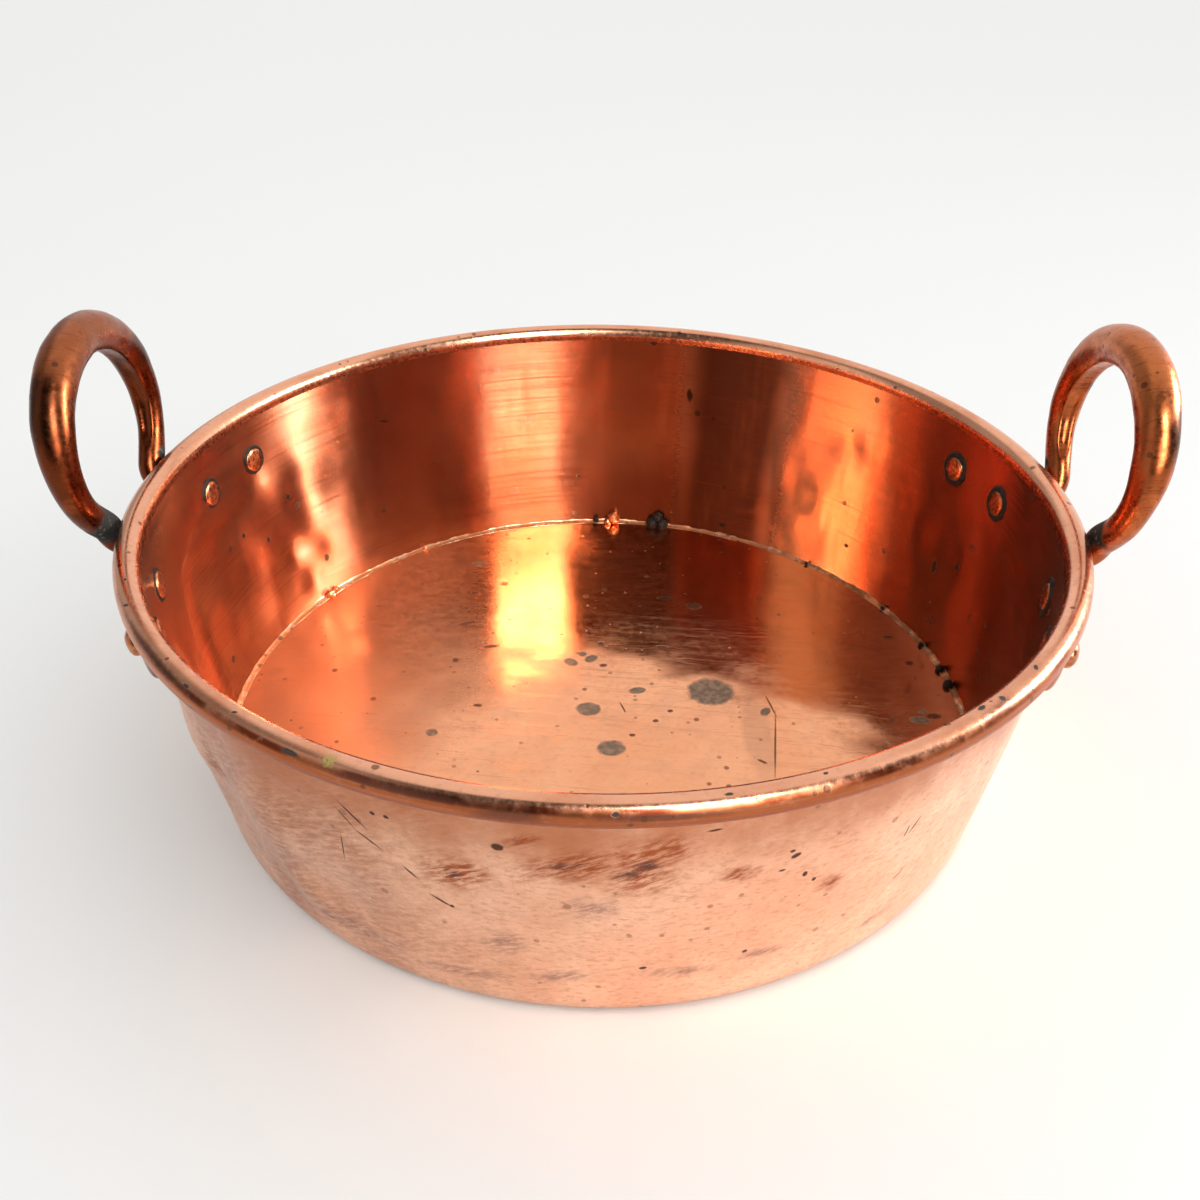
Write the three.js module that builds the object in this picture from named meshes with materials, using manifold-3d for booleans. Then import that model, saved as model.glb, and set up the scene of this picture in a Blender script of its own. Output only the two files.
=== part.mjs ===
// Copper preserving pan: a tapered sheet wall rolled round an iron wire at the rim, a base plate
// brazed in, and two upright loop handles whose ears are riveted to the wall under the rim.
// Millimetres, +Z up. The origin is the centre of the underside, and the handles lie along X.
import * as THREE from 'three';
import { mergeVertices } from 'three/addons/utils/BufferGeometryUtils.js';
import Module from 'manifold-3d';

const wasm = await Module();
wasm.setup();

// Pan sizes
const rimRadius = 185;         // outside of the rolled rim
const panHeight = 112.8;       // table to the top of the rim
const wallSheet = 1.2;
const wallTiltAtRim = 4;       // degrees off upright
const wallTiltAtBase = 10;     // degrees off upright
const wireDiameter = 6.3;
const rimRollAngle = 306;      // degrees that the wall's top edge is rolled round the wire
const heelRadius = 5;          // outside of the bend at the foot of the wall
const flangeWidth = 14;        // flat of the wall that is turned in under the base plate
const baseSheet = 1.5;
const seamWidth = 2.6;         // braze seen on the base plate
const seamHeight = 2.4;        // braze seen on the wall

// Handle sizes
const handleTurn = 1.5;        // degrees that each handle is set towards the front
const handleLean = 5.6;        // degrees that the loop leans outwards
const loopRise = 23.2;         // rim top to the loop's widest place
const loopHalfWidth = 42.6;    // centre line
const loopHalfHeight = 35.4;   // centre line
const gripDiameter = 16.4;     // at the top of the loop
const legWidth = 12.4;         // seen from the side of the pan
const neckThickness = 10.2;    // where the leg passes the rim
const neckAngle = 45;          // degrees below the widest place where the leg turns to its ear
const swellAngle = -17.5;      // degrees above the widest place where the bar starts to thicken
const earDrop = 24.8;          // rim top to the middle of the ears
const earHeight = 18;
const earThickness = 6.4;
const earReach = 30;           // degrees round the pan from the handle's middle to the ear's tip
const earTipRound = 7;         // length of the rounded tip
const earTipHeight = 9;        // left at the very tip
const earSquareness = 3.2;     // 2 is an ellipse, and more is nearer to a rectangle

// Rivet sizes
const innerRivetAngle = 12.2;  // degrees round the pan from the handle's middle
const outerRivetAngle = 23.5;
const shankDiameter = 6;
const innerHeadDiameter = 10.6;
const innerHeadThickness = 1.1;
const outerHeadDiameter = 10.6;
const outerHeadHeight = 3.6;

// Fits and facets
const fitGap = 0.3;            // between pieces that touch
const headClearance = 0.6;     // above a rivet's outer head, where the leg leaves the wall
const mergeDistance = 1e-4;    // corners nearer than this are one corner
const ringFacets = 64;         // round the pan
const roundFacets = 16;        // round a rivet
const sectionFacets = 14;      // round a handle

const radians = THREE.MathUtils.degToRad;
const facetSag = rimRadius * (1 - Math.cos(Math.PI / ringFacets));

// Rim and wall: the wall is an arc of slight bow that runs into the rolled rim
const wireHole = wireDiameter / 2 + fitGap;
const beadRadius = wireHole + wallSheet;
const bead = new THREE.Vector2(rimRadius - beadRadius, panHeight - beadRadius);
const tiltTop = radians(wallTiltAtRim);
const tiltFoot = radians(wallTiltAtBase);
const heelInside = heelRadius - wallSheet;
const wallTopZ = bead.y + beadRadius * Math.sin(tiltTop);
const wallFootZ = heelRadius - heelInside * Math.sin(tiltFoot);
const wallBow = (wallTopZ - wallFootZ) / (Math.sin(tiltFoot) - Math.sin(tiltTop));
const bowCentre = new THREE.Vector2(
  bead.x - (beadRadius + wallBow) * Math.cos(tiltTop),
  wallTopZ + wallBow * Math.sin(tiltTop),
);
const heelCentre = new THREE.Vector2(
  bowCentre.x + (wallBow - heelInside) * Math.cos(tiltFoot),
  heelRadius,
);

function wallTilt(z) {
  return Math.asin((bowCentre.y - z) / wallBow);
}

function wallInside(z) {
  return bowCentre.x + Math.sqrt(wallBow ** 2 - (z - bowCentre.y) ** 2);
}

function wallOutside(z) {
  return bowCentre.x + Math.sqrt((wallBow + wallSheet) ** 2 - (z - bowCentre.y) ** 2);
}

// Points on an arc, both ends included
function arc(centre, radius, from, to, steps) {
  return Array.from({ length: steps + 1 }, (_, i) => {
    const a = from + (to - from) * i / steps;
    return new THREE.Vector2(centre.x + radius * Math.cos(a), centre.y + radius * Math.sin(a));
  });
}

// Leaves only positions, with shared corners merged and the faces pointing out
function closedBody(geometry) {
  geometry.deleteAttribute('normal');
  geometry.deleteAttribute('uv');
  const body = mergeVertices(geometry, mergeDistance);
  const p = body.attributes.position;
  const index = body.index.array;
  const corner = (i) => new THREE.Vector3().fromBufferAttribute(p, index[i]);
  const kept = [];
  let volume = 0;
  for (let i = 0; i < index.length; i += 3) {
    const [a, b, c] = [corner(i), corner(i + 1), corner(i + 2)];
    if (index[i] === index[i + 1] || index[i + 1] === index[i + 2] || index[i + 2] === index[i]) continue;
    kept.push(index[i], index[i + 1], index[i + 2]);
    volume += a.dot(b.cross(c));
  }
  body.setIndex(volume < 0 ? kept.reverse() : kept);
  return body;
}

// Turns a profile of radius and height round the Z axis
function turned(profile, facets) {
  return closedBody(new THREE.LatheGeometry(profile, facets).rotateX(Math.PI / 2));
}

function toManifold(geometry) {
  return new wasm.Manifold(new wasm.Mesh({
    numProp: 3,
    vertProperties: new Float32Array(geometry.attributes.position.array),
    triVerts: new Uint32Array(geometry.index.array),
  }));
}

// Cuts tools out of a body
function cut(geometry, tools) {
  const solid = tools.reduce((left, tool) => left.subtract(toManifold(tool)), toManifold(geometry));
  const mesh = solid.getMesh();
  const result = new THREE.BufferGeometry();
  result.setAttribute('position', new THREE.BufferAttribute(mesh.vertProperties, 3));
  result.setIndex(new THREE.BufferAttribute(mesh.triVerts, 1));
  return result;
}

// Rivet places: each stands square to the wall, at the height of the ears
const earZ = panHeight - earDrop;
const earOutside = wallSheet + fitGap + earThickness;

function rivetPlace(azimuth) {
  const radius = wallInside(earZ);
  const tilt = wallTilt(earZ);
  const spin = new THREE.Matrix4().makeRotationZ(azimuth);
  const lay = new THREE.Matrix4().makeRotationY(Math.PI / 2 + tilt);
  const move = new THREE.Matrix4().makeTranslation(radius, 0, earZ);
  return spin.multiply(move).multiply(lay);
}

function rivetHole(azimuth) {
  const reach = 2 * earOutside;
  const hole = new THREE.CylinderGeometry(
    shankDiameter / 2 + fitGap, shankDiameter / 2 + fitGap, 2 * reach, roundFacets,
  );
  return closedBody(hole.rotateX(Math.PI / 2).applyMatrix4(rivetPlace(azimuth)));
}

function rivet(azimuth) {
  const shank = shankDiameter / 2;
  const inner = innerHeadDiameter / 2;
  const outer = outerHeadDiameter / 2;
  const seat = -fitGap - facetSag;
  const face = seat - innerHeadThickness;
  const edge = innerHeadThickness / 2;
  const outerSeat = earOutside + fitGap;
  const domeSteps = 3;
  const dome = Array.from({ length: domeSteps }, (_, i) => {
    const a = i * Math.PI / 2 / domeSteps;
    return new THREE.Vector2(outer * Math.cos(a), outerSeat + outerHeadHeight * Math.sin(a));
  });
  return turned([
    new THREE.Vector2(0, face),
    new THREE.Vector2(inner - edge, face),
    new THREE.Vector2(inner, face + edge),
    new THREE.Vector2(inner, seat),
    new THREE.Vector2(shank, seat),
    new THREE.Vector2(shank, outerSeat),
    ...dome,
    new THREE.Vector2(0, outerSeat + outerHeadHeight),
  ], roundFacets).applyMatrix4(rivetPlace(azimuth));
}

// Wall: flange, heel, bowed wall and rolled rim, as one sheet of even thickness
function panWall(holes) {
  const rollFrom = Math.PI - tiltTop;
  const rollTo = rollFrom - radians(rimRollAngle);
  const heelSteps = 4;
  const wallSteps = 5;
  const rollSteps = 11;
  const flangeEnd = heelCentre.x - flangeWidth;
  const inside = [
    new THREE.Vector2(flangeEnd, wallSheet),
    ...arc(heelCentre, heelInside, -Math.PI / 2, -tiltFoot, heelSteps),
    ...arc(bowCentre, wallBow, -tiltFoot, -tiltTop, wallSteps).slice(1, -1),
    ...arc(bead, beadRadius, rollFrom, rollTo, rollSteps),
  ];
  const outside = [
    new THREE.Vector2(flangeEnd, 0),
    ...arc(heelCentre, heelRadius, -Math.PI / 2, -tiltFoot, heelSteps),
    ...arc(bowCentre, wallBow + wallSheet, -tiltFoot, -tiltTop, wallSteps).slice(1, -1),
    ...arc(bead, wireHole, rollFrom, rollTo, rollSteps),
  ];
  const profile = [...inside, ...outside.reverse(), inside[0].clone()];
  return cut(turned(profile, ringFacets), holes);
}

function rimWire() {
  const ringSides = 8;
  return turned(arc(bead, wireDiameter / 2, 0, 2 * Math.PI, ringSides), ringFacets);
}

// Base plate: lies on the flange, inside the heel
const plateBottom = wallSheet + fitGap;
const plateTop = plateBottom + baseSheet;

// Radius of the inner face of the heel or wall, wherever that height lies
function insideAt(z) {
  if (z >= wallFootZ) return wallInside(z);
  return heelCentre.x + Math.sqrt(heelInside ** 2 - (heelRadius - z) ** 2);
}

function basePlate() {
  const radius = insideAt(plateBottom) - fitGap;
  return turned([
    new THREE.Vector2(0, plateBottom),
    new THREE.Vector2(radius, plateBottom),
    new THREE.Vector2(radius, plateTop),
    new THREE.Vector2(0, plateTop),
  ], ringFacets);
}

// Braze: a hollow fillet in the corner between the base plate and the wall
function baseSeam() {
  const hollow = 3;
  const bottom = plateTop + fitGap;
  const top = bottom + seamHeight;
  const clear = fitGap + facetSag;
  const outerFoot = insideAt(bottom) - clear;
  const outerTop = insideAt(top) - clear;
  const middle = (outerFoot + outerTop) / 2;
  return turned([
    new THREE.Vector2(outerFoot - seamWidth, bottom),
    new THREE.Vector2(outerFoot, bottom),
    new THREE.Vector2(outerTop, top),
    new THREE.Vector2(middle - seamWidth / hollow, bottom + seamHeight / hollow),
    new THREE.Vector2(outerFoot - seamWidth, bottom),
  ], ringFacets);
}

// Handle: one bar, drawn from an ear's tip along the wall, up the leg and half way round the loop
const widestZ = panHeight + loopRise;
const lean = radians(handleLean);
const handover = radians(neckAngle);
const legFoot = new THREE.Vector2(
  loopHalfWidth * Math.cos(handover),
  widestZ - loopHalfHeight * Math.sin(handover),
);
const legHeading = new THREE.Vector2(
  -loopHalfWidth * Math.sin(handover),
  -loopHalfHeight * Math.cos(handover),
).normalize();
const bendSide = new THREE.Vector2(-legHeading.y, legHeading.x);
const bendRadius = (legFoot.y - earZ) / (1 - bendSide.y);
const bendCentre = legFoot.clone().addScaledVector(bendSide, bendRadius);

// The loop is flat. Its legs pass the rim with the fit gap left between them
const neckRadius = rimRadius + fitGap + neckThickness / 2;
const planeAtRim = Math.sqrt(neckRadius ** 2 - (bendCentre.x - bendRadius) ** 2);

function loopPlane(z) {
  return planeAtRim + (z - bead.y) * Math.tan(lean);
}

function mix(a, b, k) {
  return a + (b - a) * THREE.MathUtils.clamp(k, 0, 1);
}

const ellipse = 2;
const swellFrom = Math.sin(radians(swellAngle));

// One station: a place, the direction that faces out of the pan, and the bar's section there
function loopStation(angle) {
  const along = loopHalfWidth * Math.cos(angle);
  const z = widestZ + loopHalfHeight * Math.sin(angle);
  const fullness = THREE.MathUtils.smoothstep(Math.sin(angle), swellFrom, 1);
  const thin = mix(legWidth, neckThickness, -Math.sin(angle) / Math.sin(handover));
  return {
    place: new THREE.Vector3(loopPlane(z), along, z),
    facing: new THREE.Vector3(Math.cos(lean), 0, -Math.sin(lean)),
    thickness: mix(thin, gripDiameter, fullness),
    width: mix(legWidth, gripDiameter, fullness),
    squareness: ellipse,
  };
}

const footAngle = Math.atan2(legFoot.x, loopPlane(legFoot.y));
const earRadius = wallOutside(earZ) + fitGap;

// Where the bar leaves the wall, just above the rivet heads, and where it stands clear of the rim
const leavesWall = earZ + outerHeadDiameter / 2 + headClearance;
const clearsRim = bead.y - beadRadius;

function earStation(along, z, fall, width, squareness) {
  const angle = footAngle + (along - legFoot.x) / earRadius;
  const tilt = wallTilt(z);
  const rise = THREE.MathUtils.smoothstep(z, leavesWall, clearsRim);
  const thickness = fall * mix(earThickness, neckThickness, rise);
  const lying = wallOutside(z) + (fitGap + thickness / 2) / Math.cos(tilt);
  const standing = Math.hypot(loopPlane(z), bendCentre.x - bendRadius);
  const radius = mix(lying, standing, rise);
  return {
    place: new THREE.Vector3(radius * Math.cos(angle), radius * Math.sin(angle), z),
    facing: new THREE.Vector3(
      Math.cos(tilt) * Math.cos(angle),
      Math.cos(tilt) * Math.sin(angle),
      -Math.sin(tilt),
    ),
    thickness,
    width,
    squareness,
  };
}

function halfHandle() {
  const loopSteps = 13;
  const bendSteps = 8;
  const earSteps = 5;
  const tipShares = [0.5, 0.85, 1];
  const stations = [];
  for (let i = 0; i <= loopSteps; i += 1) {
    stations.push(loopStation(Math.PI / 2 - (Math.PI / 2 + handover) * i / loopSteps));
  }
  const from = Math.atan2(-bendSide.y, -bendSide.x);
  const to = 1.5 * Math.PI;
  for (let i = 1; i <= bendSteps; i += 1) {
    const k = i / bendSteps;
    const a = from + (to - from) * k;
    stations.push(earStation(
      bendCentre.x + bendRadius * Math.cos(a),
      bendCentre.y + bendRadius * Math.sin(a),
      1,
      mix(legWidth, earHeight, k),
      mix(ellipse, earSquareness, k),
    ));
  }
  const tip = legFoot.x + (radians(earReach) - footAngle) * earRadius;
  const roundFrom = tip - earTipRound;
  for (let i = 1; i <= earSteps; i += 1) {
    const along = mix(bendCentre.x, roundFrom, i / earSteps);
    stations.push(earStation(along, earZ, 1, earHeight, earSquareness));
  }
  const tipFall = 1 - (earTipHeight / earHeight) ** 2;
  for (const k of tipShares) {
    const fall = Math.sqrt(1 - tipFall * k * k);
    const along = roundFrom + earTipRound * k;
    stations.push(earStation(along, earZ, fall, earHeight * fall, earSquareness));
  }
  return stations;
}

function mirrored(station) {
  const flip = new THREE.Vector3(1, -1, 1);
  return {
    ...station,
    place: station.place.clone().multiply(flip),
    facing: station.facing.clone().multiply(flip),
  };
}

// Skins a row of sections into one closed bar with a flat end at each tip
function skinned(stations) {
  const corners = [];
  const faces = [];
  const n = sectionFacets;
  stations.forEach((station, i) => {
    const before = stations[Math.max(i - 1, 0)].place;
    const after = stations[Math.min(i + 1, stations.length - 1)].place;
    const heading = after.clone().sub(before).normalize();
    const out = station.facing.clone().addScaledVector(heading, -station.facing.dot(heading)).normalize();
    const across = heading.clone().cross(out);
    const bulge = (v) => Math.sign(v) * Math.abs(v) ** (2 / station.squareness);
    for (let j = 0; j < n; j += 1) {
      const a = 2 * Math.PI * (j + 0.5) / n;
      const corner = station.place.clone()
        .addScaledVector(out, bulge(Math.cos(a)) * station.thickness / 2)
        .addScaledVector(across, bulge(Math.sin(a)) * station.width / 2);
      corners.push(...corner.toArray());
    }
  });
  for (let i = 0; i + 1 < stations.length; i += 1) {
    for (let j = 0; j < n; j += 1) {
      const [a, b] = [i * n + j, i * n + (j + 1) % n];
      faces.push(a, b, a + n, b, b + n, a + n);
    }
  }
  const last = (stations.length - 1) * n;
  for (let j = 1; j + 1 < n; j += 1) {
    faces.push(0, j + 1, j, last, last + j, last + j + 1);
  }
  const bar = new THREE.BufferGeometry();
  bar.setAttribute('position', new THREE.Float32BufferAttribute(corners, 3));
  bar.setIndex(faces);
  return closedBody(bar);
}

function handle(azimuth, holes) {
  const half = halfHandle();
  const bar = skinned([...half.slice(1).reverse(), ...half.map(mirrored)]);
  return cut(bar.rotateZ(azimuth), holes);
}

// Finishes
const finishes = {
  copperWall: { color: 0xd98f6c, roughness: 0.3, metalness: 1 },
  copperBase: { color: 0xc97a50, roughness: 0.32, metalness: 1 },
  braze: { color: 0xd8b878, roughness: 0.5, metalness: 1 },
  iron: { color: 0x5a5450, roughness: 0.6, metalness: 1 },
  castCopper: { color: 0xa9623f, roughness: 0.34, metalness: 1 },
  rivetCopper: { color: 0xb5623a, roughness: 0.38, metalness: 1 },
};

const pan = new THREE.Group();

function place(name, geometry, finish) {
  geometry.computeVertexNormals();
  const mesh = new THREE.Mesh(geometry, new THREE.MeshStandardMaterial(finishes[finish]));
  mesh.name = name;
  pan.add(mesh);
}

// Each handle's middle, and the way round the pan that leads to its rear ear
const turn = radians(handleTurn);
const sides = [
  { name: 'left', azimuth: Math.PI + turn, rearward: -1 },
  { name: 'right', azimuth: -turn, rearward: 1 },
];
const rivets = [];
for (const side of sides) {
  for (const [end, way] of [['rear', side.rearward], ['front', -side.rearward]]) {
    for (const [row, angle] of [['inner', innerRivetAngle], ['outer', outerRivetAngle]]) {
      rivets.push({
        name: `${side.name}_${end}_${row}_rivet`,
        side: side.name,
        azimuth: side.azimuth + way * radians(angle),
      });
    }
  }
}

place('pan_wall', panWall(rivets.map((r) => rivetHole(r.azimuth))), 'copperWall');
place('base_plate', basePlate(), 'copperBase');
place('base_braze_seam', baseSeam(), 'braze');
place('rim_wire', rimWire(), 'iron');
for (const side of sides) {
  const holes = rivets.filter((r) => r.side === side.name).map((r) => rivetHole(r.azimuth));
  place(`${side.name}_handle`, handle(side.azimuth, holes), 'castCopper');
}
for (const r of rivets) {
  place(r.name, rivet(r.azimuth), 'rivetCopper');
}

export default pan;
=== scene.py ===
import math

import bpy
from mathutils import Matrix, Vector


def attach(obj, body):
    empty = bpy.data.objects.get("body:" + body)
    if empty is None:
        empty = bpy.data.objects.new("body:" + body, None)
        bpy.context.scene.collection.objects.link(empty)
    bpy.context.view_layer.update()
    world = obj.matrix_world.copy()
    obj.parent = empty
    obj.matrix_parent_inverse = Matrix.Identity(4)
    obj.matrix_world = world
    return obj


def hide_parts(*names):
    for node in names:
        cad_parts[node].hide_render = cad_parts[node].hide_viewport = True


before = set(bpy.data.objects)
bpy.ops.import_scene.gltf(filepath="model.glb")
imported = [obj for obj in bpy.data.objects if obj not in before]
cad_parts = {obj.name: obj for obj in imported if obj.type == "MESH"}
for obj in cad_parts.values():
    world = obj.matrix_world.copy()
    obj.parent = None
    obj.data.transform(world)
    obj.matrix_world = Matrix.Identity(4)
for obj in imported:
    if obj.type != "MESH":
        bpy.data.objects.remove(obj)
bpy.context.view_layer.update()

MM = 0.001

# Pan sizes, in metres, the same as the solids'
RIM_RADIUS = 185 * MM
PAN_HEIGHT = 112.8 * MM
WALL_SHEET = 1.2 * MM
WALL_TILT_AT_RIM = math.radians(4)
WALL_TILT_AT_BASE = math.radians(10)
BEAD_RADIUS = 4.65 * MM
RIM_ROLL = math.radians(306)
HEEL_RADIUS = 5 * MM
FLANGE_WIDTH = 14 * MM
PLATE_BOTTOM = 1.5 * MM
PLATE_SHEET = 1.5 * MM
PLATE_TOP = PLATE_BOTTOM + PLATE_SHEET
EAR_HEIGHT_ON_WALL = PAN_HEIGHT - 24.8 * MM
EAR_OUTSIDE = WALL_SHEET + 6.7 * MM
RIVET_ANGLES = {"inner": 12.2, "outer": 23.5}
HANDLE_MIDDLES = {"left": 181.5, "right": -1.5}

# Camera
CAMERA_PLACE = Vector((0, -399.5, 320.9)) * MM
CAMERA_LENS = 33.683
CAMERA_PITCH = math.radians(33.506)
CAMERA_YAW = math.radians(-0.146)
CAMERA_ROLL = math.radians(0.693)


# Shader nodes

class Tree:
    """Adds and links the nodes of one material, group or world."""

    def __init__(self, tree):
        self.tree = tree

    def add(self, kind, inputs=None, **settings):
        node = self.tree.nodes.new(kind)
        for key, value in settings.items():
            setattr(node, key, value)
        for name, value in (inputs or {}).items():
            self.feed(node.inputs[name], value)
        return node

    def feed(self, socket, value):
        if isinstance(value, bpy.types.NodeSocket):
            self.tree.links.new(value, socket)
        elif isinstance(value, tuple) and len(value) == 3 and socket.type == "RGBA":
            socket.default_value = (*value, 1)
        else:
            socket.default_value = value

    def math(self, operation, a, b=0.0, clamp=False):
        node = self.add("ShaderNodeMath", {0: a, 1: b}, operation=operation, use_clamp=clamp)
        return node.outputs[0]

    def plus(self, a, b):
        return self.math("ADD", a, b)

    def minus(self, a, b):
        return self.math("SUBTRACT", a, b)

    def times(self, a, b):
        return self.math("MULTIPLY", a, b)

    def most(self, a, b):
        return self.math("MAXIMUM", a, b)

    def vector(self, operation, a, b):
        return self.add("ShaderNodeVectorMath", {0: a, 1: b}, operation=operation).outputs[0]

    def join(self, x, y, z=0.0):
        return self.add("ShaderNodeCombineXYZ", {0: x, 1: y, 2: z}).outputs[0]

    def split(self, vector):
        return self.add("ShaderNodeSeparateXYZ", {0: vector}).outputs

    def step(self, value, low, high, start=0.0, end=1.0):
        """A smooth step from start to end as the value goes from low to high."""
        inputs = {"Value": value, "From Min": low, "From Max": high, "To Min": start, "To Max": end}
        return self.add("ShaderNodeMapRange", inputs, interpolation_type="SMOOTHSTEP").outputs[0]

    def band(self, value, middle, outer, inner):
        """One near a middle value, falling to nothing between an inner and an outer distance."""
        return self.step(self.math("ABSOLUTE", self.minus(value, middle)), outer, inner)

    def turn(self, vector, angle):
        inputs = {"Vector": vector, "Angle": angle}
        return self.add("ShaderNodeVectorRotate", inputs, rotation_type="Z_AXIS").outputs[0]

    def stretched_noise(self, vector, scales, detail, roughness):
        return self.noise(self.vector("MULTIPLY", vector, scales), 1.0, detail, roughness)

    def noise(self, vector, scale, detail=2.0, roughness=0.5, distortion=0.0):
        inputs = {
            "Vector": vector, "Scale": scale, "Detail": detail,
            "Roughness": roughness, "Distortion": distortion,
        }
        return self.add("ShaderNodeTexNoise", inputs).outputs[0]

    def blend(self, factor, a, b):
        return self.add("ShaderNodeMix", {0: factor, 6: a, 7: b}, data_type="RGBA").outputs[2]

    def tint(self, colour, mask, strength, tint):
        """Lays a tint over a colour, as strongly as a mask and a share of it say."""
        return self.blend(self.times(mask, strength), colour, tint)

    def bump(self, shader, height, strength, depth):
        inputs = {"Height": height, "Strength": strength, "Distance": depth}
        self.feed(shader.inputs["Normal"], self.add("ShaderNodeBump", inputs).outputs[0])

    def group(self, name, inputs):
        node = self.add("ShaderNodeGroup", node_tree=bpy.data.node_groups[name])
        for title, value in inputs.items():
            self.feed(node.inputs[title], value)
        return node.outputs[0]

    def position(self):
        return self.add("ShaderNodeTexCoord").outputs["Object"]


def new_group(name, inputs, output):
    """A node group of float inputs, or vector inputs where the default is None."""
    group = bpy.data.node_groups.new(name, "ShaderNodeTree")
    for title, default in inputs.items():
        kind = "NodeSocketVector" if default is None else "NodeSocketFloat"
        socket = group.interface.new_socket(title, in_out="INPUT", socket_type=kind)
        if default is not None:
            socket.default_value = default
    group.interface.new_socket(output, in_out="OUTPUT", socket_type="NodeSocketFloat")
    t = Tree(group)
    return t, t.add("NodeGroupInput").outputs, t.add("NodeGroupOutput").inputs[0]


def make_mark_group():
    """One ragged oval mark, on a surface laid out flat."""
    t, give, result = new_group("mark", {
        "Across": 0, "Along": 0, "Centre Across": 0, "Centre Along": 0, "Half Width": 0.01,
        "Half Height": 0.01, "Turn": 0, "Softness": 0.3, "Wander": 0,
    }, "Mask")
    shift = t.join(
        t.minus(give["Across"], give["Centre Across"]),
        t.minus(give["Along"], give["Centre Along"]),
    )
    turned = t.turn(shift, t.times(give["Turn"], -1.0))
    scaled = t.vector("DIVIDE", turned, t.join(give["Half Width"], give["Half Height"], 1.0))
    distance = t.add("ShaderNodeVectorMath", {0: scaled}, operation="LENGTH").outputs["Value"]
    edge = t.plus(distance, give["Wander"])
    outer = t.plus(1.0, give["Softness"])
    inner = t.minus(1.0, give["Softness"])
    t.feed(result, t.step(edge, outer, inner))


def make_tarnish_group():
    """Cloudy patches of tarnish that cover a share of the surface."""
    t, give, result = new_group(
        "tarnish", {"Position": None, "Scale": 30, "Cover": 0.5, "Softness": 0.1}, "Mask"
    )
    cloud = t.noise(give["Position"], give["Scale"], 6.0, 0.62, 0.4)
    middle = t.step(give["Cover"], 0.0, 1.0, 0.72, 0.28)
    low = t.minus(middle, give["Softness"])
    high = t.plus(middle, give["Softness"])
    t.feed(result, t.step(cloud, low, high))


def make_pits_group():
    """Small round pits and specks, in a share of the cells of a scattered grid."""
    t, give, result = new_group(
        "pits", {"Position": None, "Scale": 150, "Share": 0.2, "Size": 0.2}, "Mask"
    )
    cells = t.add("ShaderNodeTexVoronoi", {"Vector": give["Position"], "Scale": give["Scale"]})
    pick, size, _ = t.add("ShaderNodeSeparateColor", {0: cells.outputs["Color"]}).outputs
    chosen = t.math("LESS_THAN", pick, give["Share"])
    reach = t.times(give["Size"], t.plus(size, 0.25))
    spot = t.step(t.math("DIVIDE", cells.outputs["Distance"], reach), 1.0, 0.7)
    t.feed(result, t.times(spot, chosen))


def make_scratch_group():
    """Fine broken scratches that run one way, on a surface laid out flat."""
    t, give, result = new_group("scratches", {
        "Across": 0, "Along": 0, "Turn": 0, "Length": 0.04, "Pitch": 0.0016, "Share": 0.3,
    }, "Mask")
    turned = t.turn(t.join(give["Across"], give["Along"]), give["Turn"])
    drawn = t.vector("DIVIDE", turned, t.join(give["Length"], give["Pitch"], 1.0))
    line = t.math("ABSOLUTE", t.minus(t.noise(drawn, 1.0, 1.0), 0.5))
    thin = t.step(line, 0.02, 0.004)
    where = t.noise(drawn, 0.37, 1.0)
    limit = t.step(give["Share"], 0.0, 1.0, 0.75, 0.25)
    broken = t.step(t.minus(where, limit), 0.0, 0.08)
    t.feed(result, t.times(thin, broken))


# Materials

WALL_RADIUS = 180 * MM
DEGREE = math.radians(1) * WALL_RADIUS


def new_metal(name):
    material = bpy.data.materials.new(name)
    material.use_nodes = True
    t = Tree(material.node_tree)
    shader = material.node_tree.nodes["Principled BSDF"]
    shader.inputs["Metallic"].default_value = 1
    return material, t, shader


def wall_place(t, position):
    """How far round the wall, and how high, a place is."""
    x, y, z = t.split(position)
    return t.times(t.math("ARCTAN2", y, x), WALL_RADIUS), z


def rim_place(t, position):
    """How far round the rim, and how far round its bead from the outermost line, a place is."""
    x, y, z = t.split(position)
    radius = t.math("SQRT", t.plus(t.times(x, x), t.times(y, y)))
    out = t.minus(radius, BEAD[0])
    turn = t.math("ARCTAN2", t.minus(z, BEAD[1]), out)
    return t.times(t.math("ARCTAN2", y, x), WALL_RADIUS), t.times(turn, BEAD_RADIUS)


def marks_mask(t, across, along, marks, softness, ragged, grain):
    """The strongest of several marks, given as centre, half sizes and turn in metres and radians."""
    mask = None
    wander = t.minus(t.noise(t.join(across, along), grain, 4.0, 0.6), 0.5)
    wander = t.times(wander, ragged)
    for centre_across, centre_along, half_width, half_height, turn in marks:
        one = t.group("mark", {
            "Across": across, "Along": along, "Centre Across": centre_across, "Centre Along": centre_along,
            "Half Width": half_width, "Half Height": half_height, "Turn": turn,
            "Softness": softness, "Wander": wander,
        })
        mask = one if mask is None else t.most(mask, one)
    return mask


def on_wall_marks(*rows):
    """Marks on the wall, from degrees round it and millimetres."""
    return [
        (math.radians(azimuth) * WALL_RADIUS, z * MM, w * MM, h * MM, math.radians(turn))
        for azimuth, z, w, h, turn in rows
    ]


def on_base_marks(*rows):
    """Marks on the base, from millimetres."""
    return [(x * MM, y * MM, w * MM, h * MM, math.radians(turn)) for x, y, w, h, turn in rows]


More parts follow.
